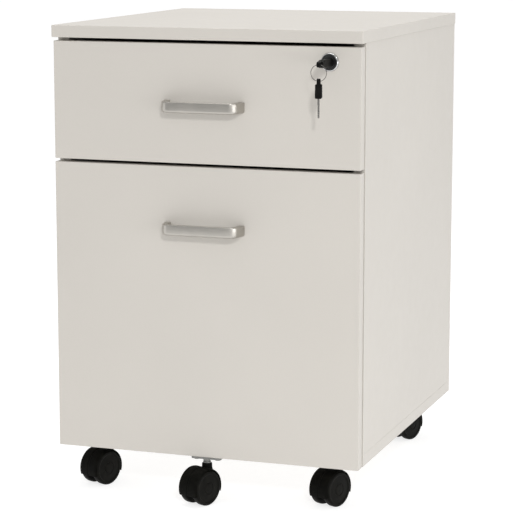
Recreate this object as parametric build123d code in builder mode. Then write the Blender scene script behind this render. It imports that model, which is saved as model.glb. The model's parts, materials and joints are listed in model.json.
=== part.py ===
from build123d import *
import math
import os

# Two-drawer mobile pedestal on five castors. Millimetres, +Z up, +Y to the back, floor at Z = 0.

# ---- driving dimensions -------------------------------------------------------------------------
TOP_W = 400.0            # width of the top panel
DEPTH = 450.0            # drawer face to the back edge
HEIGHT = 590.0           # floor to the top surface
BOARD = 15.0             # thickness of the panels and drawer fronts
THIN_BOARD = 12.0        # thickness of the drawer boxes' boards
EDGE_R = 0.8             # softened edge of the fronts and the top
PANEL_EDGE_R = 0.4       # softened edge of the other panels
TOP_OVERHANG = 1.5       # top panel past the drawer faces
SIDE_INSET = 1.0         # side panels inside the top panel's ends
FRONT_INSET = 2.0        # drawer fronts inside the top panel's ends
FRONT_GAP = 1.5          # air between drawer fronts and the carcass
FRONT_LOW = 58.0         # lower edge of the file drawer's front
FILE_FRONT_H = 363.0
FRONTS_GAP = 4.0         # between the two fronts
TOP_GAP = 4.2            # upper front to the top panel
UNDER_CLEAR = 1.0        # castor plate on the file drawer passes under the bottom panel

SLIDE_SPACE = 13.0       # drawer box to the side panel
SLIDE_L = 400.0
SLIDE_FRONT = 18.0       # front end of the slides behind the drawer face
SHEET = 1.2              # steel thickness of the slides
BOX_DEPTH = 400.0        # drawer box behind its front
UPPER_BOX_LOW = 438.0
UPPER_BOX_TOP = 528.0
FILE_BOX_LOW = 92.0
FILE_BOX_TOP = 352.0
BOX_BOTTOM_UP = 4.0      # underside of a drawer's bottom above its box's lower edge
BOX_BOTTOM_T = 6.0
RAIL_T = 2.0
RAIL_LOW = 334.0
RAIL_TOP = 362.0
RAIL_START = 8.0         # behind the file drawer's front
RAIL_END = 4.0           # before the file drawer's back
UPPER_SLIDE_Z = 475.0
FILE_SLIDE_Z = 200.0

HANDLE_REACH = 24.0
HANDLE_DROP = 75.7       # front's upper edge to the handle's middle line
HANDLE_H = 13.6
HANDLE_THICK = 5.0
GRIP_HALF = 46.0
GRIP_R = 1.4             # softened outer edge of the grip
HANDLE_HOLES = 96.0
FOOT_W = 9.0
FOOT_H = 14.0
SCREW_R = 2.0
SCREW_GRIP = 8.0         # how far a handle screw goes into its foot
SCREW_HEAD_R = 4.0
SCREW_HEAD_T = 2.4

LOCK_X = 159.4
LOCK_Z = 552.8
BEZEL_R = 11.3
BEZEL_PROUD = 4.0
BARREL_R = 9.5
PLUG_R = 8.0
PLUG_FACE_R = 9.6        # the plug's broad face, sunk in the bezel
PLUG_FACE_LOW = 1.8
PLUG_PROUD = 4.6
RUN = 0.05               # radial running clearance
CRANK_R = 8.0            # lock centre to the crank's pin
PIN_R = 2.0
PIN_PLAY = 0.5
KEY_EYE = 45.0           # drawer face to the key's eyelet
SPARE_HALF = 5.25        # half the depth of the hanging key's head
RING_R = 9.6             # mean radius of the key ring
WIRE_R = 0.5

WHEEL_R = 22.0
WHEEL_W = 9.5
WHEEL_X = 10.25          # middle of a wheel from the castor's middle plane
TRAIL = 13.0             # swivel axis to the axle
HOOD_R = 24.5
HOOD_POCKET_R = 23.0
HOOD_LOW = 14.0          # lower edge of the hood over the wheels
WEB_R = 17.0             # the hood's web between the wheels
HOOD_TOP = 50.3
HOOD_AIR = 0.5           # hood and web to the wheels, and pin to its socket's end
HOOD_SOFT = 1.4
SOCKET_UP = 4.0          # socket's lower end above the axle
WHEEL_SOFT = 2.0
WHEEL_RIM = 6.0          # raised rim round a wheel's outer face
HUB_R = 5.0
CAP_T = 1.0              # closed end of a wheel's bore, and depth of its dished face
PRESS_FIT = 0.02
AXLE_R = 3.0
KINGPIN_R = 3.0
KINGPIN_LOW = 39.5
COLLAR_R = 5.0
COLLAR_NECK_R = 3.7
COLLAR_EDGE = 1.5        # height of the collar's rims above and below its neck
COLLAR_AIR = 0.3         # between the collar and the hood
SOCKET_R = 6.5
PLATE = 2.5
SWIVEL_DEG = -22.0       # castors at rest trail towards the front, turned a little
CORNER_PLATE = 42.0
CORNER_X = 154.5
CORNER_FRONT = 54.0      # behind the drawer face
CORNER_BACK = 405.0
FIFTH_BACK = 6.0
FIFTH_PLATE_W = 39.0
FIFTH_PLATE_D = 27.0

# ---- places worked out from them ----------------------------------------------------------------
KEY_REACH = KEY_EYE + SPARE_HALF                # furthest point of the keys in front of the face
FACE = (KEY_REACH - DEPTH) / 2                  # Y of the drawer faces, so the whole depth is centred
BACK = FACE + DEPTH
CARCASS = FACE + BOARD + FRONT_GAP              # front edges of the carcass panels
SIDE_OUT = TOP_W / 2 - SIDE_INSET
SIDE_IN = SIDE_OUT - BOARD
FRONT_X = TOP_W / 2 - FRONT_INSET
TOP_LOW = HEIGHT - BOARD
FLOOR_LOW = FRONT_LOW + UNDER_CLEAR             # underside of the bottom panel
FLOOR_TOP = FLOOR_LOW + BOARD
FILE_TOP = FRONT_LOW + FILE_FRONT_H
UPPER_LOW = FILE_TOP + FRONTS_GAP
UPPER_TOP = TOP_LOW - TOP_GAP
BOX_X = SIDE_IN - SLIDE_SPACE                   # outer face of the drawer boxes
LEVER_DROP = CRANK_R * math.sin(math.radians(45))
BAR_LIFT = 2 * LEVER_DROP

os.makedirs("parts", exist_ok=True)
made = []


def save(piece, name):
    """Label one finished sub-part and write its STEP file."""
    piece.part.label = name
    export_step(piece.part, "parts/" + name + ".step")
    made.append(name)


def slab(low, high):
    """A box between two corners, added to the part being built."""
    size = [high[i] - low[i] for i in range(3)]
    middle = tuple((high[i] + low[i]) / 2 for i in range(3))
    with Locations(middle):
        Box(*size)


def board(name, low, high, soft=0.0):
    """A plain board between two corners, with softened edges where soft is given."""
    with BuildPart() as piece:
        slab(low, high)
        if soft:
            fillet(piece.edges(), soft)
    save(piece, name)


# ---- carcass ------------------------------------------------------------------------------------
CAM_R = 7.5
CAM_DEPTH = 12.0
CAM_EDGE = 34.0
CAM_SHY = 0.5            # a cam's inner end stops short of its bore
CAM_SLOT = (9.0, 1.6, 2.5)                      # length, width and depth of a cam's cross slot
CAM_Z = (FLOOR_TOP + CAM_EDGE, TOP_LOW - CAM_EDGE)
CAM_Y = (FACE + 90.0, FACE + 330.0)
GROOVE_DEPTH = 4.0
GROOVE_Y = (FACE + 23.5, FACE + 36.5)
GROOVE_Z = (100.0, 569.0)

board("top_panel", (-TOP_W / 2, FACE - TOP_OVERHANG, TOP_LOW), (TOP_W / 2, BACK, HEIGHT), EDGE_R)
board("bottom_panel", (-SIDE_OUT, CARCASS, FLOOR_LOW), (SIDE_OUT, BACK, FLOOR_TOP), PANEL_EDGE_R)
board("back_panel", (-SIDE_IN, BACK - BOARD, FLOOR_TOP), (SIDE_IN, BACK, TOP_LOW), PANEL_EDGE_R)

for side, sign in (("left", -1), ("right", 1)):
    inner = Plane((sign * SIDE_IN, 0, 0), x_dir=(0, 1, 0), z_dir=(sign, 0, 0))
    with BuildPart() as side_panel:
        slab((min(sign * SIDE_IN, sign * SIDE_OUT), CARCASS, FLOOR_TOP),
             (max(sign * SIDE_IN, sign * SIDE_OUT), BACK, TOP_LOW))
        fillet(side_panel.edges(), PANEL_EDGE_R)
        with BuildSketch(inner):
            with Locations([(y, sign * z) for y in CAM_Y for z in CAM_Z]):
                Circle(CAM_R)
        extrude(amount=CAM_DEPTH, mode=Mode.SUBTRACT)
        if side == "right":
            with Locations((SIDE_IN + GROOVE_DEPTH / 2, sum(GROOVE_Y) / 2, sum(GROOVE_Z) / 2)):
                Box(GROOVE_DEPTH, GROOVE_Y[1] - GROOVE_Y[0], GROOVE_Z[1] - GROOVE_Z[0],
                    mode=Mode.SUBTRACT)
    save(side_panel, side + "_side_panel")

# Cam discs that pull the side panels to the top and bottom panels, each with its cross slot.
with BuildPart() as cams:
    for sign in (-1, 1):
        with BuildSketch(Plane((sign * SIDE_IN, 0, 0), x_dir=(0, 1, 0), z_dir=(sign, 0, 0))):
            with Locations([(y, sign * z) for y in CAM_Y for z in CAM_Z]):
                Circle(CAM_R - RUN)
        extrude(amount=CAM_DEPTH - CAM_SHY)
        with BuildSketch(Plane((sign * SIDE_IN, 0, 0), x_dir=(0, 1, 0), z_dir=(sign, 0, 0))):
            with Locations([(y, sign * z) for y in CAM_Y for z in CAM_Z]):
                Rectangle(CAM_SLOT[0], CAM_SLOT[1])
                Rectangle(CAM_SLOT[1], CAM_SLOT[0])
        extrude(amount=CAM_SLOT[2], mode=Mode.SUBTRACT)
save(cams, "panel_cam_fittings")


# ---- drawers ------------------------------------------------------------------------------------
LEG_W = 6.0              # a handle's leg where it meets the grip


def handle(name, middle_z):
    """A bow handle: a flat grip and two splayed legs that flare to their feet."""
    with BuildPart() as bow:
        slab((-GRIP_HALF, FACE - HANDLE_REACH, middle_z - HANDLE_H / 2),
             (GRIP_HALF, FACE - HANDLE_REACH + HANDLE_THICK, middle_z + HANDLE_H / 2))
        fillet(bow.faces().sort_by(Axis.Y)[0].edges(), GRIP_R)
        for sign in (-1, 1):
            with BuildSketch(Plane((0, FACE - HANDLE_REACH + GRIP_R + 0.1, middle_z), x_dir=(1, 0, 0),
                                   z_dir=(0, -1, 0))):
                with Locations((sign * (GRIP_HALF - LEG_W / 2), 0)):
                    Rectangle(LEG_W, HANDLE_H)
            with BuildSketch(Plane((0, FACE, middle_z), x_dir=(1, 0, 0), z_dir=(0, -1, 0))):
                with Locations((sign * HANDLE_HOLES / 2, 0)):
                    Rectangle(FOOT_W, FOOT_H)
            loft()
        with BuildSketch(Plane((0, FACE, middle_z), x_dir=(1, 0, 0), z_dir=(0, -1, 0))):
            with Locations((-HANDLE_HOLES / 2, 0), (HANDLE_HOLES / 2, 0)):
                Circle(SCREW_R)
        extrude(amount=SCREW_GRIP + 1.0, mode=Mode.SUBTRACT)
    save(bow, name)


def handle_screws(name, middle_z):
    """Two pan-head screws from inside the drawer into the handle's feet."""
    with BuildPart() as screws:
        with BuildSketch(Plane((0, FACE + BOARD, middle_z), x_dir=(1, 0, 0), z_dir=(0, -1, 0))):
            with Locations((-HANDLE_HOLES / 2, 0), (HANDLE_HOLES / 2, 0)):
                Circle(SCREW_R - RUN)
        extrude(amount=BOARD + SCREW_GRIP)
        with BuildSketch(Plane((0, FACE + BOARD, middle_z), x_dir=(1, 0, 0), z_dir=(0, 1, 0))):
            with Locations((-HANDLE_HOLES / 2, 0), (HANDLE_HOLES / 2, 0)):
                Circle(SCREW_HEAD_R)
        extrude(amount=SCREW_HEAD_T)
    save(screws, name)


def drawer(prefix, low, high, box_low, box_high, lock_hole=False):
    """Front, two sides, back and bottom of one drawer, with its handle and screws."""
    handle_z = high - HANDLE_DROP
    with BuildPart() as front:
        slab((-FRONT_X, FACE, low), (FRONT_X, FACE + BOARD, high))
        fillet(front.edges(), EDGE_R)
        with BuildSketch(Plane((0, FACE, handle_z), x_dir=(1, 0, 0), z_dir=(0, -1, 0))):
            with Locations((-HANDLE_HOLES / 2, 0), (HANDLE_HOLES / 2, 0)):
                Circle(SCREW_R + 0.2)
        extrude(amount=-BOARD, mode=Mode.SUBTRACT)
        if lock_hole:
            with BuildSketch(Plane((LOCK_X, FACE, LOCK_Z), x_dir=(1, 0, 0), z_dir=(0, -1, 0))):
                Circle(BARREL_R + RUN)
            extrude(amount=-BOARD, mode=Mode.SUBTRACT)
    save(front, prefix + "_front")
    start = FACE + BOARD
    end = start + BOX_DEPTH
    inner = BOX_X - THIN_BOARD
    board(prefix + "_left_side", (-BOX_X, start, box_low), (-inner, end, box_high))
    board(prefix + "_right_side", (inner, start, box_low), (BOX_X, end, box_high))
    board(prefix + "_back", (-inner, end - THIN_BOARD, box_low), (inner, end, box_high))
    floor = box_low + BOX_BOTTOM_UP
    board(prefix + "_bottom", (-inner, start, floor), (inner, end - THIN_BOARD, floor + BOX_BOTTOM_T))
    handle(prefix + "_handle", handle_z)
    handle_screws(prefix + "_handle_screws", handle_z)


drawer("upper_drawer", UPPER_LOW, UPPER_TOP, UPPER_BOX_LOW, UPPER_BOX_TOP, lock_hole=True)
drawer("file_drawer", FRONT_LOW, FILE_TOP, FILE_BOX_LOW, FILE_BOX_TOP)

# Steel strips that carry the hooks of hanging files, on the inner faces of the file drawer.
with BuildPart() as rails:
    for sign in (-1, 1):
        edge = sign * (BOX_X - THIN_BOARD)
        slab((min(edge, edge - sign * RAIL_T), FACE + BOARD + RAIL_START, RAIL_LOW),
             (max(edge, edge - sign * RAIL_T), FACE + BOARD + BOX_DEPTH - THIN_BOARD - RAIL_END, RAIL_TOP))
save(rails, "hanging_file_rails")


# ---- ball slides: three nested channels on each side --------------------------------------------
# Near edge and far edge from the side panel, and half the height, of each channel.
CABINET_MEMBER = (0.0, 9.0, 22.5)
MIDDLE_MEMBER = (2.6, 11.0, 20.2)
DRAWER_MEMBER = (5.0, SLIDE_SPACE, 17.9)


def channels(name, z, member, outward):
    """Left and right channels, with their webs towards the side panels where outward is set."""
    near, far, half_height = member
    start = FACE + SLIDE_FRONT
    with BuildPart() as members:
        for sign in (-1, 1):
            profile = Plane((sign * SIDE_IN, start, z), x_dir=(-sign, 0, 0), z_dir=(0, 1, 0))
            with BuildSketch(profile):
                with Locations(((near + far) / 2, 0)):
                    Rectangle(far - near, 2 * half_height)
                open_from = near + SHEET if outward else near
                with Locations((open_from + (far - near - SHEET) / 2, 0)):
                    Rectangle(far - near - SHEET, 2 * (half_height - SHEET), mode=Mode.SUBTRACT)
            extrude(amount=SLIDE_L)
    save(members, name)


for prefix, z in (("upper", UPPER_SLIDE_Z), ("file", FILE_SLIDE_Z)):
    channels(prefix + "_slide_cabinet_members", z, CABINET_MEMBER, True)
    channels(prefix + "_slide_middle_members", z, MIDDLE_MEMBER, True)
    channels(prefix + "_slide_drawer_members", z, DRAWER_MEMBER, False)

# ---- lock ---------------------------------------------------------------------------------------
BARREL_L = 22.0
BEZEL_SOFT = 1.2
NUT_R = 12.5
NUT_T = 4.0
lock_face = Plane((LOCK_X, FACE, LOCK_Z), x_dir=(1, 0, 0), z_dir=(0, -1, 0))

with BuildPart() as lock_housing:
    with BuildSketch(lock_face):
        Circle(BEZEL_R)
    extrude(amount=BEZEL_PROUD)
    fillet(lock_housing.faces().sort_by(Axis.Y)[0].edges(), BEZEL_SOFT)
    with BuildSketch(lock_face):
        Circle(BARREL_R)
    extrude(amount=-BARREL_L)
    with BuildSketch(lock_face.offset(BEZEL_PROUD)):
        Circle(PLUG_R + RUN)
    extrude(amount=-(BARREL_L + BEZEL_PROUD), mode=Mode.SUBTRACT)
    with BuildSketch(lock_face.offset(BEZEL_PROUD)):
        Circle(PLUG_FACE_R + RUN)
    extrude(amount=PLUG_FACE_LOW - RUN - BEZEL_PROUD, mode=Mode.SUBTRACT)
save(lock_housing, "lock_housing")

with BuildPart() as lock_nut:
    with BuildSketch(lock_face.offset(-BOARD)):
        RegularPolygon(NUT_R, 6)
        Circle(BARREL_R + PRESS_FIT, mode=Mode.SUBTRACT)
    extrude(amount=-NUT_T)
save(lock_nut, "lock_nut")

KEYWAY_W = 2.4
KEYWAY_H = 8.0
PLUG_SOFT = 0.6
RING_GROOVE = (7.6, 6.4, 0.6)                   # outer and inner radius and depth, in the plug's face
with BuildPart() as lock_plug:
    with BuildSketch(lock_face.offset(PLUG_FACE_LOW)):
        Circle(PLUG_FACE_R)
    extrude(amount=PLUG_PROUD - PLUG_FACE_LOW)
    fillet(lock_plug.faces().sort_by(Axis.Y)[0].edges(), PLUG_SOFT)
    with BuildSketch(lock_face.offset(PLUG_FACE_LOW)):
        Circle(PLUG_R)
    extrude(amount=-(BARREL_L + PLUG_FACE_LOW))
    with BuildSketch(lock_face.offset(PLUG_PROUD)):
        Circle(RING_GROOVE[0])
        Circle(RING_GROOVE[1], mode=Mode.SUBTRACT)
    extrude(amount=-RING_GROOVE[2], mode=Mode.SUBTRACT)
    with BuildSketch(lock_face.offset(PLUG_PROUD)):
        Rectangle(KEYWAY_W, KEYWAY_H)
    extrude(amount=-(BARREL_L - 1.0 + PLUG_PROUD), mode=Mode.SUBTRACT)
save(lock_plug, "lock_plug")

# The crank on the plug's back end; its pin starts 45 degrees below the horizontal.
CRANK_T = 3.0
CRANK_HUB_R = 5.0
CRANK_END_R = 3.5
PIN_L = 5.5
pin_at = (CRANK_R * math.cos(math.radians(45)), -LEVER_DROP)
with BuildPart() as lock_crank:
    with BuildSketch(lock_face.offset(-BARREL_L)):
        Circle(CRANK_HUB_R)
        with Locations(pin_at):
            Circle(CRANK_END_R)
    extrude(amount=-CRANK_T)
    with BuildSketch(lock_face.offset(-BARREL_L - CRANK_T)):
        with Locations(pin_at):
            Circle(PIN_R)
    extrude(amount=-PIN_L)
save(lock_crank, "lock_crank")

# The bar slides up in its groove; its lugs stand in front of the catches when it is up.
BAR_T = 3.4
BAR_IN = SIDE_IN + 0.3
BAR_PLAY = 0.5           # each side of the bar in its groove
BAR_LOW = 120.0
BAR_TOP = LOCK_Z - LEVER_DROP + 7.0
LUG_Y = (FACE + 27.0, FACE + 33.0)
LUG_H = 8.0
LUG_REACH = 10.0
UPPER_LUG_Z = 500.5
FILE_LUG_Z = 326.0
TAB_Y = (FACE + BARREL_L + CRANK_T + 1.5, FACE + BARREL_L + CRANK_T + 4.0)
TAB_LEFT = LOCK_X + pin_at[0] - 6.0
TAB_HALF = 6.0
SLOT_REACH = 4.4         # length of the tab's slot past the pin's own width
SLOT_SHIFT = 1.2
with BuildPart() as lock_bar:
    slab((BAR_IN, GROOVE_Y[0] + BAR_PLAY, BAR_LOW), (BAR_IN + BAR_T, GROOVE_Y[1] - BAR_PLAY, BAR_TOP))
    for z in (UPPER_LUG_Z, FILE_LUG_Z):
        slab((BAR_IN - LUG_REACH, LUG_Y[0], z), (BAR_IN, LUG_Y[1], z + LUG_H))
    slab((TAB_LEFT, TAB_Y[0], LOCK_Z - LEVER_DROP - TAB_HALF),
         (BAR_IN, TAB_Y[1], LOCK_Z - LEVER_DROP + TAB_HALF))
    with BuildSketch(lock_face.offset(-BARREL_L)):
        with Locations((pin_at[0] + SLOT_SHIFT, -LEVER_DROP)):
            Rectangle(2 * PIN_R + SLOT_REACH, 2 * (PIN_R + PIN_PLAY))
    extrude(amount=-12.0, mode=Mode.SUBTRACT)
save(lock_bar, "lock_bar")

CATCH_T = 1.5
CATCH_H = 13.0
CATCH_BEFORE = 12.0      # the catch's foot in front of and behind the lug's back face
CATCH_BEHIND = 14.0
CATCH_AIR = 0.6
for prefix, z in (("upper", UPPER_LUG_Z), ("file", FILE_LUG_Z)):
    lip_low = z + LUG_H + CATCH_AIR
    with BuildPart() as catch:
        slab((BOX_X, LUG_Y[1] - CATCH_BEFORE, lip_low),
             (BOX_X + CATCH_T, LUG_Y[1] + CATCH_BEHIND, lip_low + CATCH_H))
        slab((BOX_X + CATCH_T, LUG_Y[1] + 1.0, lip_low),
             (SIDE_IN - 1.0, LUG_Y[1] + 1.0 + CATCH_T, lip_low + CATCH_H))
    save(catch, prefix + "_drawer_lock_catch")


# ---- keys ---------------------------------------------------------------------------------------
HEAD_L = 20.0             # eyelet to the collar of the spare key's head
LOCK_HEAD_L = 39.0        # the same of the key in the lock, which has a sleeve up to the plug
EYE_R = 1.9
TAB_T = 4.4               # thickness at the eyelet
TAB_END = 3.4             # eyelet to the thick part of the head
TAB_W = 6.4
TAB_L = 7.0               # eyelet to where the head starts to widen
BODY_T = 8.2
BODY_W = 9.6
SHOULDER = 13.0           # eyelet to the full width
KEY_SOFT = 1.0
BODY_SOFT = 1.6
BLADE_H = 7.2
BLADE_IN = 8.0            # how far the key in the lock goes behind the drawer face


def key_profile(length):
    """A key head from its eyelet, at the origin, along +X to the collar."""
    Polygon((0, -TAB_W / 2), (TAB_L, -TAB_W / 2), (SHOULDER, -BODY_W / 2), (length, -BODY_W / 2),
            (length, BODY_W / 2), (SHOULDER, BODY_W / 2), (TAB_L, TAB_W / 2), (0, TAB_W / 2), align=None)


def make_key_head(name, plane, length):
    """A moulded head in a plane whose origin is the eyelet and whose X points to the collar."""
    flat = Axis(plane.origin, plane.z_dir)
    with BuildPart() as head:
        with BuildSketch(plane.offset(-TAB_T / 2)):
            key_profile(length)
            Circle(TAB_W / 2)
        extrude(amount=TAB_T)
        tab_faces = head.faces().filter_by(flat)
        fillet(tab_faces.sort_by(flat)[0].edges() + tab_faces.sort_by(flat)[-1].edges(), KEY_SOFT)
        with BuildSketch(plane.offset(-BODY_T / 2)):
            key_profile(length)
            with Locations((TAB_END / 2, 0)):
                Rectangle(TAB_END, BODY_W, mode=Mode.SUBTRACT)
        extrude(amount=BODY_T)
        body_faces = head.faces().filter_by(flat)
        fillet(body_faces.sort_by(flat)[0].edges() + body_faces.sort_by(flat)[-1].edges(), BODY_SOFT)
        with BuildSketch(plane.offset(-TAB_T / 2)):
            Circle(EYE_R)
        extrude(amount=TAB_T, mode=Mode.SUBTRACT)
    save(head, name)


key_plane = Plane((LOCK_X, FACE - KEY_EYE, LOCK_Z), x_dir=(0, 1, 0), z_dir=(1, 0, 0))
make_key_head("key_head", key_plane, LOCK_HEAD_L)

BLADE_T = 2.0
with BuildPart() as key_blade:
    slab((LOCK_X - BLADE_T / 2, FACE + LOCK_HEAD_L - KEY_EYE, LOCK_Z - BLADE_H / 2),
         (LOCK_X + BLADE_T / 2, FACE + BLADE_IN, LOCK_Z + BLADE_H / 2))
save(key_blade, "key_blade")

ring_z = LOCK_Z - RING_R
with BuildPart() as key_ring:
    with Locations(Plane((LOCK_X, FACE - KEY_EYE, ring_z), x_dir=(1, 0, 0), z_dir=(0, 1, 0))):
        Torus(RING_R, WIRE_R)
save(key_ring, "key_ring")

# The spare key hangs from the ring's lowest point, turned a little about the vertical.
SPARE_DEG = 12.0
SPARE_BLADE = 23.0
BLADE_STEP = 8.0         # the blade is full width this far from the head
BLADE_CUT = 1.4          # how much narrower it is beyond that
spare_eye = LOCK_Z - 2 * RING_R
spare_place = Plane((LOCK_X, FACE - KEY_EYE, spare_eye)).rotated((0, 0, SPARE_DEG))
spare_plane = Plane(spare_place.origin, x_dir=(0, 0, -1), z_dir=spare_place.x_dir)
make_key_head("spare_key_head", spare_plane, HEAD_L)

with BuildPart() as spare_key_blade:
    with BuildSketch(spare_plane.offset(-BLADE_T / 2)):
        with Locations((HEAD_L + BLADE_STEP / 2, 0)):
            Rectangle(BLADE_STEP, BLADE_H)
        with Locations((HEAD_L + (BLADE_STEP + SPARE_BLADE) / 2, BLADE_CUT / 2)):
            Rectangle(SPARE_BLADE - BLADE_STEP, BLADE_H - BLADE_CUT)
    extrude(amount=BLADE_T)
save(spare_key_blade, "spare_key_blade")

# ---- castors ------------------------------------------------------------------------------------
CASTORS = {
    "front_left": (-CORNER_X, FACE + CORNER_FRONT),
    "front_right": (CORNER_X, FACE + CORNER_FRONT),
    "back_left": (-CORNER_X, FACE + CORNER_BACK),
    "back_right": (CORNER_X, FACE + CORNER_BACK),
    "drawer": (0.0, FACE + FIFTH_BACK),
}
CORNERS = [CASTORS[name] for name in CASTORS if name != "drawer"]
CORNER_PLATE_LOW = FLOOR_LOW - PLATE
FIFTH_PLATE_LOW = FRONT_LOW - PLATE
SCREW_HOLE = 2.1
CORNER_HOLE = 15.0       # screw holes from the middle of a corner plate
FIFTH_HOLE = 14.0
PLATE_HEAD_R = 3.6
PLATE_HEAD_T = 1.6
corner_screw_places = [(x + dx, y + dy) for x, y in CORNERS
                       for dx in (-CORNER_HOLE, CORNER_HOLE) for dy in (-CORNER_HOLE, CORNER_HOLE)]
fifth_screw_places = [(dx, FACE + BOARD / 2) for dx in (-FIFTH_HOLE, FIFTH_HOLE)]

with BuildPart() as corner_plates:
    with BuildSketch(Plane.XY.offset(CORNER_PLATE_LOW)):
        with Locations(CORNERS):
            RectangleRounded(CORNER_PLATE, CORNER_PLATE, 4.0)
        with Locations(corner_screw_places):
            Circle(SCREW_HOLE, mode=Mode.SUBTRACT)
    extrude(amount=PLATE)
save(corner_plates, "corner_castor_plates")

with BuildPart() as fifth_plate:
    with BuildSketch(Plane.XY.offset(FIFTH_PLATE_LOW)):
        with Locations((0, FACE + 0.5 + FIFTH_PLATE_D / 2)):
            RectangleRounded(FIFTH_PLATE_W, FIFTH_PLATE_D, 3.0)
        with Locations(fifth_screw_places):
            Circle(SCREW_HOLE, mode=Mode.SUBTRACT)
    extrude(amount=PLATE)
save(fifth_plate, "drawer_castor_plate")


def kingpins(name, places, plate_low):
    """Steel stems: a necked collar under the plate and a pin down into the castor's socket."""
    foot = HOOD_TOP + COLLAR_AIR
    levels = ((KINGPIN_LOW, foot, KINGPIN_R), (foot, foot + COLLAR_EDGE, COLLAR_R),
              (foot + COLLAR_EDGE, plate_low - COLLAR_EDGE, COLLAR_NECK_R),
              (plate_low - COLLAR_EDGE, plate_low, COLLAR_R))
    with BuildPart() as stems:
        for low, high, radius in levels:
            with BuildSketch(Plane.XY.offset(low)):
                with Locations(places):
                    Circle(radius)
            extrude(amount=high - low)
    save(stems, name)


def plate_screws(name, places, plate_low):
    """Pan-head screws: heads under the plate and shanks inside its holes."""
    with BuildPart() as screws:
        with BuildSketch(Plane.XY.offset(plate_low)):
            with Locations(places):
                Circle(SCREW_HOLE - RUN)
        extrude(amount=PLATE)
        with BuildSketch(Plane.XY.offset(plate_low - PLATE_HEAD_T)):
            with Locations(places):
                Circle(PLATE_HEAD_R)
        extrude(amount=PLATE_HEAD_T)
    save(screws, name)


kingpins("corner_castor_kingpins", CORNERS, CORNER_PLATE_LOW)
kingpins("drawer_castor_kingpin", [CASTORS["drawer"]], FIFTH_PLATE_LOW)
plate_screws("corner_castor_screws", corner_screw_places, CORNER_PLATE_LOW)
plate_screws("drawer_castor_screws", fifth_screw_places, FIFTH_PLATE_LOW)


def castor(name, place):
    """Hood, axle and two wheels of one castor, turned to its angle at rest."""
    turned = Plane((place[0], place[1], 0)).rotated((0, 0, SWIVEL_DEG))
    axle_plane = Plane(turned.from_local_coords(Vector(0, -TRAIL, WHEEL_R)),
                       x_dir=turned.y_dir, z_dir=turned.x_dir)
    hood_half = WHEEL_X + WHEEL_W / 2 - HOOD_AIR
    web_half = WHEEL_X - WHEEL_W / 2 - HOOD_AIR
    socket_low = WHEEL_R + SOCKET_UP
    with BuildPart() as hood:
        with BuildSketch(axle_plane.offset(-hood_half)):
            Circle(HOOD_R)
        extrude(amount=2 * hood_half)
        fillet(hood.edges().filter_by(GeomType.CIRCLE), HOOD_SOFT)
        with BuildSketch(Plane(origin=(place[0], place[1], socket_low))):
            Circle(SOCKET_R)
        extrude(amount=HOOD_TOP - socket_low)
        for start in (web_half, -web_half):
            with BuildSketch(axle_plane.offset(start)):
                Circle(HOOD_POCKET_R)
            extrude(amount=math.copysign(hood_half, start), mode=Mode.SUBTRACT)
        with BuildSketch(turned.offset(HOOD_LOW)):
            with Locations((0, -TRAIL)):
                Rectangle(3 * HOOD_R, 3 * HOOD_R)
        extrude(amount=-2 * HOOD_R, mode=Mode.SUBTRACT)
        with BuildSketch(axle_plane.offset(-web_half)):
            Circle(WEB_R)
        extrude(amount=2 * web_half)
        with BuildSketch(axle_plane.offset(-web_half)):
            Circle(AXLE_R + RUN)
        extrude(amount=2 * web_half, mode=Mode.SUBTRACT)
        with BuildSketch(Plane(origin=(place[0], place[1], KINGPIN_LOW - HOOD_AIR))):
            Circle(KINGPIN_R + RUN)
        extrude(amount=HOOD_TOP, mode=Mode.SUBTRACT)
    save(hood, name + "_castor_hood")

    with BuildPart() as axle:
        axle_half = WHEEL_X + WHEEL_W / 2 - CAP_T
        with BuildSketch(axle_plane.offset(-axle_half)):
            Circle(AXLE_R)
        extrude(amount=2 * axle_half)
    save(axle, name + "_castor_axle")

    with BuildPart() as wheels:
        for middle in (-WHEEL_X, WHEEL_X):
            with BuildSketch(axle_plane.offset(middle - WHEEL_W / 2)):
                Circle(WHEEL_R)
            extrude(amount=WHEEL_W)
        fillet(wheels.edges().filter_by(GeomType.CIRCLE), WHEEL_SOFT)
        for sign in (-1, 1):
            with BuildSketch(axle_plane.offset(sign * (WHEEL_X + WHEEL_W / 2 - CAP_T))):
                Circle(WHEEL_R - WHEEL_RIM)
                Circle(HUB_R, mode=Mode.SUBTRACT)
            extrude(amount=sign * CAP_T, mode=Mode.SUBTRACT)
            with BuildSketch(axle_plane.offset(sign * (WHEEL_X - WHEEL_W / 2))):
                Circle(AXLE_R + PRESS_FIT)
            extrude(amount=sign * (WHEEL_W - CAP_T), mode=Mode.SUBTRACT)
    save(wheels, name + "_castor_wheels")


for castor_name, castor_place in CASTORS.items():
    castor(castor_name, castor_place)

print(len(made), "sub-parts; FACE", round(FACE, 3), "bar lift", round(BAR_LIFT, 3))
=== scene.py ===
import json
import math

import bmesh
import bpy
from mathutils import Matrix, Vector


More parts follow.
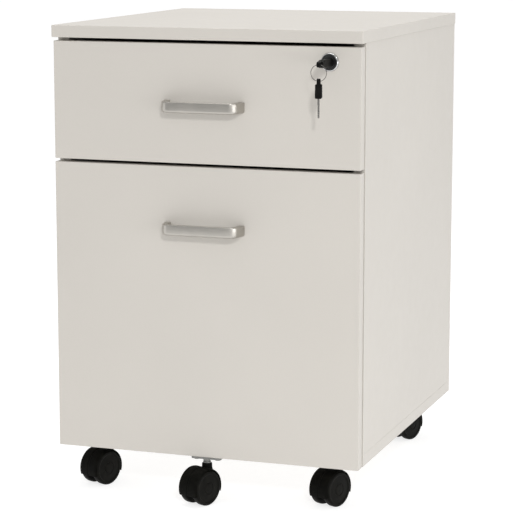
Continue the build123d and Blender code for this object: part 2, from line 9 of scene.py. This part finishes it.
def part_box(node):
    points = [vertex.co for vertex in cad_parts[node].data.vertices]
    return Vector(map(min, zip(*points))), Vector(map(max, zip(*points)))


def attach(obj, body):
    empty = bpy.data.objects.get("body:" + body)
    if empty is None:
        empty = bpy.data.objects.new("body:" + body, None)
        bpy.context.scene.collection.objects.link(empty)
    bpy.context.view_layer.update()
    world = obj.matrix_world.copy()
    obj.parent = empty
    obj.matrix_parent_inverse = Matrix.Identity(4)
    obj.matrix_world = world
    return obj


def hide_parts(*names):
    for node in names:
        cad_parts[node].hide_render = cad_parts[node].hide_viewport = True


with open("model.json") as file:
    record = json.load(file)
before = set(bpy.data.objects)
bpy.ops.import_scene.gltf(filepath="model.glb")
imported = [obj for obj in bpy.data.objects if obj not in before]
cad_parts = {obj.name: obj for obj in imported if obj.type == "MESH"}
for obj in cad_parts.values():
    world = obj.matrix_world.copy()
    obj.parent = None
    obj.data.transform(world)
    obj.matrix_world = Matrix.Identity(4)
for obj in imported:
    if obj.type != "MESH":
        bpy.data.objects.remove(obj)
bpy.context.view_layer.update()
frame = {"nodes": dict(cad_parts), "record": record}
MM = 0.001

# ---- places read from the frame ------------------------------------------------------------------
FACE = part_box("file_drawer_front")[0][1]        # Y of the drawer faces
CASTORS = ("front_left", "front_right", "back_left", "back_right", "drawer")
JOINTS = {joint["name"]: joint for joint in frame["record"]["behaviour"]["joints"]}
SPARE_TURN = 12.0                               # degrees about Z that the hanging key is turned

# ---- how the picture is taken (metres, degrees, watts) -------------------------------------------
CAMERA_PLACE = (0.8870, FACE - 2.3593, 0.7350)
CAMERA_TURN = 19.13
CAMERA_TILT = -9.57
CAMERA_LENS = 145.95                            # millimetres, on a 36 mm sensor
LIGHTS = (                                      # name, place, target, width, height, power
    ("key", (1.25, -2.65, 1.55), (0.0, -0.1, 0.4), 0.24, 0.24, 25.3),
    ("top_box", (0.0, 0.2, 2.6), (0.0, 0.0, 0.5), 1.6, 1.6, 36.0),
    ("right_strip", (2.2, -1.0, 0.34), (0.0, -0.2, 0.4), 2.0, 0.6, 10.5),
    ("left_strip", (-2.2, -1.3, 0.34), (0.0, -0.2, 0.4), 0.9, 0.6, 1.5),
)
SURROUND = 0.60                                 # strength of the white surroundings
FLOOR_REACH = 40.0
FLOOR_GREY = 0.42
FLOOR_GLOW_NEAR = 0.76                          # the floor's own light round the part
FLOOR_GLOW_FAR = 0.30                           # and far in front of it
FLOOR_FADE_NEAR = -1.1                          # Y where it starts to fade
FLOOR_FADE_FAR = -2.4                           # Y where it has faded


# ---- camera, light and floor ---------------------------------------------------------------------
def camera():
    """A long lens from the right and a little above, as a product picture is taken."""
    data = bpy.data.cameras.new("camera")
    data.sensor_width = 36.0
    data.lens = CAMERA_LENS
    data.clip_end = 50.0
    eye = bpy.data.objects.new("camera", data)
    eye.location = CAMERA_PLACE
    eye.rotation_euler = (math.pi / 2 + math.radians(CAMERA_TILT), 0, math.radians(CAMERA_TURN))
    bpy.context.scene.collection.objects.link(eye)
    bpy.context.scene.camera = eye


def area_light(name, place, target, wide, high, power):
    """A soft box, wide and high in metres, that faces its target."""
    data = bpy.data.lights.new(name, "AREA")
    data.shape = "RECTANGLE"
    data.size = wide
    data.size_y = high
    data.energy = power
    lamp = bpy.data.objects.new(name, data)
    lamp.location = place
    aim = Vector(target) - Vector(place)
    lamp.rotation_euler = aim.to_track_quat("-Z", "Y").to_euler()
    bpy.context.scene.collection.objects.link(lamp)


def floor_material():
    """A white floor that falls off to grey well in front, so bare metal has something to mirror."""
    material = bpy.data.materials.new("floor")
    material.use_nodes = True
    tree = material.node_tree
    shader = tree.nodes["Principled BSDF"]
    shader.inputs["Base Color"].default_value = (FLOOR_GREY, FLOOR_GREY, FLOOR_GREY, 1.0)
    shader.inputs["Roughness"].default_value = 0.9
    shader.inputs["Specular IOR Level"].default_value = 0.0
    shader.inputs["Emission Color"].default_value = (1.0, 1.0, 1.0, 1.0)
    place = tree.nodes.new("ShaderNodeTexCoord")
    split = tree.nodes.new("ShaderNodeSeparateXYZ")
    fade = tree.nodes.new("ShaderNodeMapRange")
    fade.inputs["From Min"].default_value = FLOOR_FADE_FAR
    fade.inputs["From Max"].default_value = FLOOR_FADE_NEAR
    fade.inputs["To Min"].default_value = FLOOR_GLOW_FAR
    fade.inputs["To Max"].default_value = FLOOR_GLOW_NEAR
    tree.links.new(place.outputs["Object"], split.inputs["Vector"])
    tree.links.new(split.outputs["Y"], fade.inputs["Value"])
    tree.links.new(fade.outputs["Result"], shader.inputs["Emission Strength"])
    return material


def studio():
    """White surroundings, a key light from the right front, a top box and low side strips."""
    world = bpy.data.worlds.new("studio")
    world.use_nodes = True
    background = world.node_tree.nodes["Background"]
    background.inputs["Color"].default_value = (1.0, 1.0, 1.0, 1.0)
    background.inputs["Strength"].default_value = SURROUND
    bpy.context.scene.world = world
    for light in LIGHTS:
        area_light(*light)
    bpy.context.scene.view_settings.view_transform = "Standard"
    bpy.context.scene.view_settings.look = "None"

    mesh = bpy.data.meshes.new("floor")
    far = FLOOR_REACH
    mesh.from_pydata([(-far, -far, 0), (far, -far, 0), (far, far, 0), (-far, far, 0)], [], [(0, 1, 2, 3)])
    mesh.materials.append(floor_material())
    floor = bpy.data.objects.new("floor", mesh)
    bpy.context.scene.collection.objects.link(floor)


# ---- materials -----------------------------------------------------------------------------------
class Shader:
    """A Principled material whose textures are laid out in metres, in object space."""

    def __init__(self, name, colour, roughness, metallic=0.0, specular=0.5):
        self.material = bpy.data.materials.new(name)
        self.material.use_nodes = True
        self.tree = self.material.node_tree
        self.main = self.tree.nodes["Principled BSDF"]
        self.main.inputs["Base Color"].default_value = (*colour, 1.0)
        self.main.inputs["Roughness"].default_value = roughness
        self.main.inputs["Metallic"].default_value = metallic
        self.main.inputs["Specular IOR Level"].default_value = specular
        self.space = self.tree.nodes.new("ShaderNodeTexCoord").outputs["Object"]

    def link(self, output, target):
        self.tree.links.new(output, target)

    def noise(self, size, detail=2.0, stretch=(1, 1, 1)):
        """Noise whose blotches are about size metres across, drawn out along stretch."""
        mapping = self.tree.nodes.new("ShaderNodeMapping")
        mapping.inputs["Scale"].default_value = [1.0 / (size * factor) for factor in stretch]
        self.link(self.space, mapping.inputs["Vector"])
        texture = self.tree.nodes.new("ShaderNodeTexNoise")
        texture.inputs["Scale"].default_value = 1.0
        texture.inputs["Detail"].default_value = detail
        self.link(mapping.outputs["Vector"], texture.inputs["Vector"])
        return texture.outputs["Fac"]

    def ramp(self, value, stops):
        """Grey levels or colours along a 0 to 1 value."""
        node = self.tree.nodes.new("ShaderNodeValToRGB")
        while len(node.color_ramp.elements) < len(stops):
            node.color_ramp.elements.new(0.5)
        for element, (place, colour) in zip(node.color_ramp.elements, stops):
            element.position = place
            element.color = (*colour, 1.0)
        self.link(value, node.inputs["Fac"])
        return node.outputs["Color"]

    def vary_colour(self, value, dark, light, low=0.3, high=0.7):
        """Runs from the dark to the light colour as the value goes from low to high."""
        self.link(self.ramp(value, [(low, dark), (high, light)]), self.main.inputs["Base Color"])

    def vary_roughness(self, value, low, high):
        """Spreads a 0 to 1 value over a range of roughness."""
        node = self.tree.nodes.new("ShaderNodeMapRange")
        node.inputs["To Min"].default_value = low
        node.inputs["To Max"].default_value = high
        self.link(value, node.inputs["Value"])
        self.link(node.outputs["Result"], self.main.inputs["Roughness"])

    def add(self, first, second, share=0.5):
        """A blend of two values."""
        node = self.tree.nodes.new("ShaderNodeMix")
        node.inputs["Factor"].default_value = share
        self.link(first, node.inputs["A"])
        self.link(second, node.inputs["B"])
        return node.outputs["Result"]

    def bump(self, value, height):
        """Raises the surface by up to height metres; it is for grain only, not for shape."""
        node = self.tree.nodes.new("ShaderNodeBump")
        node.inputs["Distance"].default_value = height
        node.inputs["Strength"].default_value = 1.0
        self.link(value, node.inputs["Height"])
        self.link(node.outputs["Normal"], self.main.inputs["Normal"])


def tint(colour, factor):
    """The same colour, lighter or darker."""
    return tuple(channel * factor for channel in colour)


def laminate(name, colour):
    """Melamine-faced board: a fine pearl grain, faint clouding and a satin sheen."""
    shader = Shader(name, colour, 0.42, specular=0.35)
    cloud = shader.noise(0.16, 3.0)
    speck = shader.noise(0.0011, 2.0)
    both = shader.add(cloud, speck, 0.45)
    shader.vary_colour(both, tint(colour, 0.972), tint(colour, 1.022))
    shader.vary_roughness(shader.noise(0.012, 4.0), 0.36, 0.50)
    shader.bump(shader.noise(0.0007, 3.0), 0.00003)
    return shader.material


def brushed_metal(name, colour, roughness, stretch):
    """Metal with fine scratches drawn out along one direction and slight tarnish."""
    shader = Shader(name, colour, roughness, metallic=1.0)
    scratches = shader.noise(0.0004, 3.0, stretch)
    patches = shader.noise(0.02, 3.0)
    both = shader.add(scratches, patches, 0.4)
    shader.vary_colour(both, tint(colour, 0.88), tint(colour, 1.10))
    shader.vary_roughness(both, roughness - 0.08, roughness + 0.10)
    shader.bump(scratches, 0.000012)
    return shader.material


def polished_metal(name, colour, roughness):
    """Plated metal with hairline swirls in its gloss."""
    shader = Shader(name, colour, roughness, metallic=1.0)
    shader.vary_colour(shader.noise(0.006, 3.0), tint(colour, 0.93), tint(colour, 1.04))
    shader.vary_roughness(shader.noise(0.0015, 4.0), roughness * 0.7, roughness * 1.5)
    return shader.material


def zinc_plate(name, colour):
    """Bright zinc plating: crystals of slightly different grey, rubbed duller in places."""
    shader = Shader(name, colour, 0.34, metallic=1.0)
    cells = shader.tree.nodes.new("ShaderNodeTexVoronoi")
    crystal = 0.004
    cells.inputs["Scale"].default_value = 1.0 / crystal
    shader.link(shader.space, cells.inputs["Vector"])
    both = shader.add(cells.outputs["Color"], shader.noise(0.015, 3.0), 0.6)
    shader.vary_colour(both, tint(colour, 0.82), tint(colour, 1.12))
    shader.vary_roughness(shader.noise(0.008, 4.0), 0.25, 0.46)
    shader.bump(shader.noise(0.0008, 2.0), 0.00001)
    return shader.material


def moulded_plastic(name, colour, roughness, specular, grain):
    """Injection-moulded plastic: a spark-eroded grain with scuffs that are a little paler."""
    shader = Shader(name, colour, roughness, specular=specular)
    scuffs = shader.noise(0.007, 5.0)
    shader.vary_colour(scuffs, tint(colour, 0.8), tint(colour, 1.9), 0.45, 0.78)
    shader.vary_roughness(scuffs, roughness - 0.07, roughness + 0.12)
    shader.bump(shader.noise(grain, 2.0), 0.00003)
    return shader.material


GREY_BOARD = (0.566, 0.537, 0.494)
DRAWER_BOARD_PAINTED_LIGHT = 1.11                        # painted light: the drawers' boards are this much lighter, a lit copy of the same laminate
MATERIALS = {
    "laminate": laminate("laminate", GREY_BOARD),
    # painted light: the drawer boards are a lighter copy of the carcass laminate, which brightens the drawer
    # faces against the carcass sides and top
    "drawer_board": laminate("drawer_board", tint(GREY_BOARD, DRAWER_BOARD_PAINTED_LIGHT)),
    "satin_metal": brushed_metal("satin_metal", (0.46, 0.44, 0.405), 0.30, (30, 1, 1)),
    "chrome": polished_metal("chrome", (0.62, 0.62, 0.62), 0.12),
    "ring_steel": polished_metal("ring_steel", (0.11, 0.107, 0.10), 0.30),
    "dark_plug": brushed_metal("dark_plug", (0.06, 0.06, 0.06), 0.30, (1, 1, 1)),
    "key_steel": brushed_metal("key_steel", (0.20, 0.195, 0.185), 0.30, (1, 1, 12)),
    "key_plastic": moulded_plastic("key_plastic", (0.0035, 0.0034, 0.003), 0.48, 0.09, 0.0004),
    "zinc_steel": zinc_plate("zinc_steel", (0.22, 0.22, 0.21)),
    "castor_plastic": moulded_plastic("castor_plastic", (0.0030, 0.0029, 0.0021), 0.50, 0.05, 0.0005),
    "castor_wheel": moulded_plastic("castor_wheel", (0.0042, 0.0040, 0.0030), 0.46, 0.07, 0.0006),
}


def dress_frame():
    """Gives every CAD node the material of its slot."""
    for subpart in frame["record"]["subparts"]:
        mesh = frame["nodes"][subpart["node"]].data
        mesh.materials.clear()
        mesh.materials.append(MATERIALS[subpart["material_slot"]])


# ---- mesh helpers --------------------------------------------------------------------------------
def finish_piece(name, bm, slot, body, replaced=(), angle=35.0):
    """Turns a bmesh into a piece: smooth where its edges are soft, riding on its body."""
    bmesh.ops.recalc_face_normals(bm, faces=bm.faces)
    mesh = bpy.data.meshes.new(name)
    bm.to_mesh(mesh)
    bm.free()
    mesh.shade_smooth()
    mesh.set_sharp_from_angle(angle=math.radians(angle))
    mesh.materials.append(MATERIALS[slot])
    piece = bpy.data.objects.new(name, mesh)
    bpy.context.scene.collection.objects.link(piece)
    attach(piece, body)
    if replaced:
        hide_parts(*replaced)
    return piece


def bridge_rings(bm, rings):
    """Faces between closed rings of vertices, one after another, with flat ends."""
    for first, second in zip(rings, rings[1:]):
        count = len(first)
        for i in range(count):
            j = (i + 1) % count
            bm.faces.new((first[i], first[j], second[j], second[i]))
    bm.faces.new(list(reversed(rings[0])))
    bm.faces.new(rings[-1])


ON_AXIS = 1e-7                                  # metres; nearer points share one vertex


def lathe(bm, profile, place, steps=64, start=0.0, sweep=360.0):
    """Revolves (along, radius) points about the X axis of place; a part turn gets flat ends."""
    whole = sweep >= 360.0
    count = steps if whole else steps + 1
    rings = []
    for i in range(count):
        angle = math.radians(start + sweep * i / steps)
        rings.append([place @ Vector((along, radius * math.cos(angle), radius * math.sin(angle)))
                      for along, radius in profile])
    on_axis = {}
    made = []
    for ring in rings:
        row = []
        for k, point in enumerate(ring):
            if profile[k][1] < ON_AXIS:
                if k not in on_axis:
                    on_axis[k] = bm.verts.new(point)
                row.append(on_axis[k])
            else:
                row.append(bm.verts.new(point))
        made.append(row)
    pairs = list(zip(made, made[1:]))
    if whole:
        pairs.append((made[-1], made[0]))
    for first, second in pairs:
        for k in range(len(profile)):
            j = (k + 1) % len(profile)
            corners = []
            for corner in (first[k], first[j], second[j], second[k]):
                if corner not in corners:
                    corners.append(corner)
            if len(corners) > 2:
                bm.faces.new(corners)
    if not whole:
        bm.faces.new(made[0])
        bm.faces.new(list(reversed(made[-1])))


def rounded_section(half_wide, half_high, radii, corner_steps=5):
    """Points round a rectangle, as (across, up); radii go from +across +up the way to +across -up."""
    points = []
    for corner, radius in enumerate(radii):
        quarter = math.pi / 2 * corner
        across = (half_wide - radius) * (1 if corner in (0, 3) else -1)
        up = (half_high - radius) * (1 if corner in (0, 1) else -1)
        for step in range(corner_steps + 1):
            angle = quarter + math.pi / 2 * step / corner_steps
            points.append((across + radius * math.cos(angle), up + radius * math.sin(angle)))
    return points


def castor_axes(name):
    """Where a castor's axle is: X along the axle, Z up, origin on the axle's middle."""
    spin = JOINTS[name + "_castor_spin"]
    along = Vector(spin["axis"]).normalized()
    back = Vector((0, 0, 1)).cross(along)
    axes = Matrix((along, back, Vector((0, 0, 1)))).transposed().to_4x4()
    return Matrix.Translation(Vector(spin["pos_m"])) @ axes


# ---- pieces --------------------------------------------------------------------------------------
def bow_handle(prefix):
    """A satin bow handle: a flat grip that turns round soft corners into flared legs."""
    low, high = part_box(prefix + "_handle")
    middle_z = (low[2] + high[2]) / 2
    reach = FACE - low[1]
    foot_x = 0.0480                             # half the distance between the feet
    corner_x = 0.0452                           # where leg and grip lines would meet
    grip_y = reach - 0.0026
    bend = 0.0078                               # bend radius on the middle line
    foot_half = 0.0043                          # half thicknesses at foot, leg and grip
    grip_half = 0.0025
    leg_half = 0.0029
    tall = (high[2] - low[2]) / 2 * 0.97
    radii = (0.0012, 0.0010, 0.0010, 0.0034)    # the last corner is the grip's soft lower front edge

    leg = Vector((corner_x - foot_x, grip_y))
    leg_length = leg.length
    leg_way = leg / leg_length
    turn = math.acos(max(-1.0, min(1.0, leg_way.dot(Vector((-1, 0))))))
    cut = bend * math.tan(turn / 2)
    corner = Vector((corner_x, grip_y))
    stations = []
    leg_steps = 9
    for i in range(leg_steps):
        along = (leg_length - cut) * i / leg_steps
        share = along / leg_length
        thick = foot_half + (leg_half - foot_half) * min(1.0, share * 1.15) ** 0.8
        stations.append((Vector((foot_x, 0)) + leg_way * along, leg_way, thick))
    bend_start = corner - leg_way * cut
    normal = Vector((-leg_way.y, leg_way.x))
    centre = bend_start + normal * bend
    arc_steps = 8
    for i in range(arc_steps + 1):
        angle = turn * i / arc_steps
        spin = Matrix.Rotation(angle, 2)
        point = centre + spin @ (bend_start - centre)
        way = spin @ leg_way
        share = i / arc_steps
        stations.append((point, way, leg_half + (grip_half - leg_half) * share))
    straight_steps = 4
    first = stations[-1][0]
    for i in range(1, straight_steps + 1):
        point = Vector((first.x * (1 - i / straight_steps), grip_y))
        stations.append((point, Vector((-1, 0)), grip_half))

    mirrored = [(Vector((-point.x, point.y)), Vector((way.x, -way.y)), thick)
                for point, way, thick in stations[-2::-1]]
    bm = bmesh.new()
    rings = []
    for point, way, thick in stations + mirrored:
        side = Vector((way.y, -way.x))
        ring = []
        for across, up in rounded_section(thick, tall, radii):
            spot = point + side * across
            ring.append(bm.verts.new((spot.x, FACE - max(spot.y, 0.0), middle_z + up)))
        rings.append(ring)
    bridge_rings(bm, rings)
    finish_piece(prefix + "_bow", bm, "satin_metal", prefix, [prefix + "_handle"], 30.0)


# Castor profiles are (along the axle, radius) in millimetres.
HOOD_HALF_PROFILE = [(14.5, 22.9), (14.4, 23.5), (13.9, 24.0), (12.6, 24.4), (10.5, 24.5), (1.2, 24.5),
                     (0.7, 24.1)]
HOOD_INNER_PROFILE = [(14.1, 22.8), (13.0, 23.0), (5.0, 23.0), (5.0, 15.0)]
WEB_PROFILE = [(5.0, 3.2), (5.0, 16.0), (4.0, 17.0)]
WHEEL_PROFILE = [(5.6, 3.1), (5.6, 19.2), (5.8, 20.6), (6.5, 21.5), (7.8, 21.95), (9.0, 22.0), (12.6, 22.0),
                 (13.7, 21.75), (14.5, 21.1), (14.9, 20.1), (15.0, 19.0), (14.9, 18.2), (14.4, 17.7),
                 (14.2, 17.2), (14.2, 16.5), (14.45, 13.0), (14.7, 9.0), (14.75, 8.0), (14.3, 7.6),
                 (14.3, 7.0), (14.75, 6.6), (14.95, 4.8), (15.0, 2.4), (15.0, 0.0), (13.8, 0.0), (13.8, 3.1)]


def mirrored_profile(half, inner):
    """A closed (along, radius) profile from its outer and inner points on the positive side."""
    outer = [(-x, r) for x, r in half] + [(x, r) for x, r in reversed(half)]
    return outer + inner + [(-x, r) for x, r in reversed(inner)]


def castor_hood(name):
    """The hood over both wheels, its web and hub, and the socket for the stem."""
    place = castor_axes(name)
    bm = bmesh.new()
    shell = mirrored_profile(HOOD_HALF_PROFILE, HOOD_INNER_PROFILE)
    reach = 19.0                                # degrees the hood comes down past the axle on each side
    lathe(bm, [(x * MM, r * MM) for x, r in shell], place, 48, -reach, 180.0 + 2 * reach)
    web = mirrored_profile(WEB_PROFILE[::-1], [])
    lathe(bm, [(x * MM, r * MM) for x, r in web], place, 64)
    low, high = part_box(name + "_castor_hood")
    stem = Vector(JOINTS[name + "_castor_turn"]["pos_m"])
    upright = Matrix.Translation((stem.x, stem.y, 0)) @ Matrix.Rotation(-math.pi / 2, 4, "Y")
    top = high[2] / MM
    socket = [(37.0, 3.1), (37.0, 6.0), (40.5, 7.6), (42.5, 7.0), (44.5, 6.6), (46.5, 6.45), (top - 1.4, 6.4),
              (top - 0.5, 6.1), (top, 5.4), (top, 3.1)]
    lathe(bm, [(z * MM, r * MM) for z, r in socket], upright, 40)
    finish_piece(name + "_castor_cover", bm, "castor_plastic", name + "_castor_swivel",
                 [name + "_castor_hood"], 32.0)


def castor_wheels(name):
    """Two crowned wheels with a dished disc and a domed hub cap on each outer face."""
    place = castor_axes(name)
    bm = bmesh.new()
    for sign in (-1, 1):
        lathe(bm, [(sign * x * MM, r * MM) for x, r in WHEEL_PROFILE], place, 72)
    finish_piece(name + "_castor_tyres", bm, "castor_wheel", name + "_castor_roll",
                 [name + "_castor_wheels"], 28.0)


def key_ring():
    """A split ring: nearly two turns of flattened wire side by side, crossing over once."""
    low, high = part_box("key_ring")
    centre = Vector([(low[i] + high[i]) / 2 for i in range(3)])
    radius = (high[0] - low[0]) / 2 - 0.0005
    wire = 0.00034                              # half the wire's size across the ring
    flat = 0.00022                              # and along its axis
    layer = 1.04 * flat                         # how far each turn lies from the middle plane
    cross = 0.021                               # share of the wire on each side of the crossover
    start = math.radians(200)
    turns = 1.92
    steps = 120
    around = 10
    bm = bmesh.new()
    rings = []
    for i in range(steps + 1):
        share = i / steps
        angle = start + turns * 2 * math.pi * share
        out = Vector((math.cos(angle), 0, math.sin(angle)))
        slide = layer * max(-1.0, min(1.0, (share - 0.5) / cross))
        middle = centre + out * radius + Vector((0, slide, 0))
        rings.append([bm.verts.new(middle + out * wire * math.cos(2 * math.pi * k / around)
                                   + Vector((0, flat * math.sin(2 * math.pi * k / around), 0)))
                      for k in range(around)])
    bridge_rings(bm, rings)
    finish_piece("split_ring", bm, "ring_steel", "key_ring", ["key_ring"], 40.0)


def lock_face():
    """The lock's bezel: a stepped, polished ring round the plug, with the barrel behind."""
    low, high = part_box("lock_housing")
    centre_x = (low[0] + high[0]) / 2
    centre_z = (low[2] + high[2]) / 2
    outer = (high[0] - low[0]) / 2 / MM
    place = Matrix.Translation((centre_x, FACE, centre_z)) @ Matrix.Rotation(-math.pi / 2, 4, "Z")
    profile = [(0.0, outer), (1.9, outer), (2.9, outer - 0.25), (3.6, outer - 0.7), (3.95, outer - 1.2),
               (4.0, outer - 1.45), (3.8, 9.68), (1.72, 9.68), (1.72, 8.05), (-22.0, 8.05), (-22.0, 9.5),
               (0.0, 9.5)]
    bm = bmesh.new()
    lathe(bm, [(x * MM, r * MM) for x, r in profile], place, 96)
    finish_piece("lock_bezel", bm, "chrome", "upper_drawer", ["lock_housing"], 40.0)


def spare_blade():
    """The spare key's blade: shoulders, cut teeth on one edge, standing in the plane it was made in."""
    swing = Vector(JOINTS["spare_key_swing"]["pos_m"])
    low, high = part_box("spare_key_blade")
    thick = 0.0019
    edge = 0.0035                               # half the blade's width
    step = 0.0014                               # how far the cut edge lies inside the shoulder
    shoulder = 0.0075                           # length of the full-width part under the head
    first_tooth = 0.0085
    turn = Matrix.Rotation(math.radians(SPARE_TURN), 3, "Z")
    tip = low[2]
    top = high[2]
    teeth = (0.3, 1.3, 0.7, 1.9, 1.0, 1.6, 0.5)
    pitch = (top - tip - first_tooth - 0.002) / len(teeth)
    outline = [(-edge, top), (-edge, top - shoulder), (step - edge, top - shoulder - 0.0005)]
    for i, depth in enumerate(teeth):
        z = top - first_tooth - pitch * i
        cut = step - edge + depth * MM * 0.6
        outline += [(cut, z - pitch * 0.30), (cut, z - pitch * 0.62),
                    (step - edge + 0.0002, z - pitch * 0.98)]
    outline += [(-0.0004, tip), (0.0012, tip), (edge, tip + 0.0022), (edge, top)]
    bm = bmesh.new()
    rings = []
    for side in (-0.5, 0.5):
        ring = []
        for y, z in outline:
            spot = turn @ Vector((side * thick, y, 0))
            ring.append(bm.verts.new((swing.x + spot.x, swing.y + spot.y, z)))
        rings.append(ring)
    bridge_rings(bm, rings)
    piece = finish_piece("spare_key_bit", bm, "key_steel", "spare_key", ["spare_key_blade"], 30.0)
    bevel = piece.modifiers.new("softened", "BEVEL")
    bevel.width = 0.0002
    bevel.segments = 2
    bevel.limit_method = "ANGLE"


camera()
studio()
dress_frame()
for drawer_name in ("upper_drawer", "file_drawer"):
    bow_handle(drawer_name)
for castor_name in CASTORS:
    castor_hood(castor_name)
    castor_wheels(castor_name)
key_ring()
lock_face()
spare_blade()
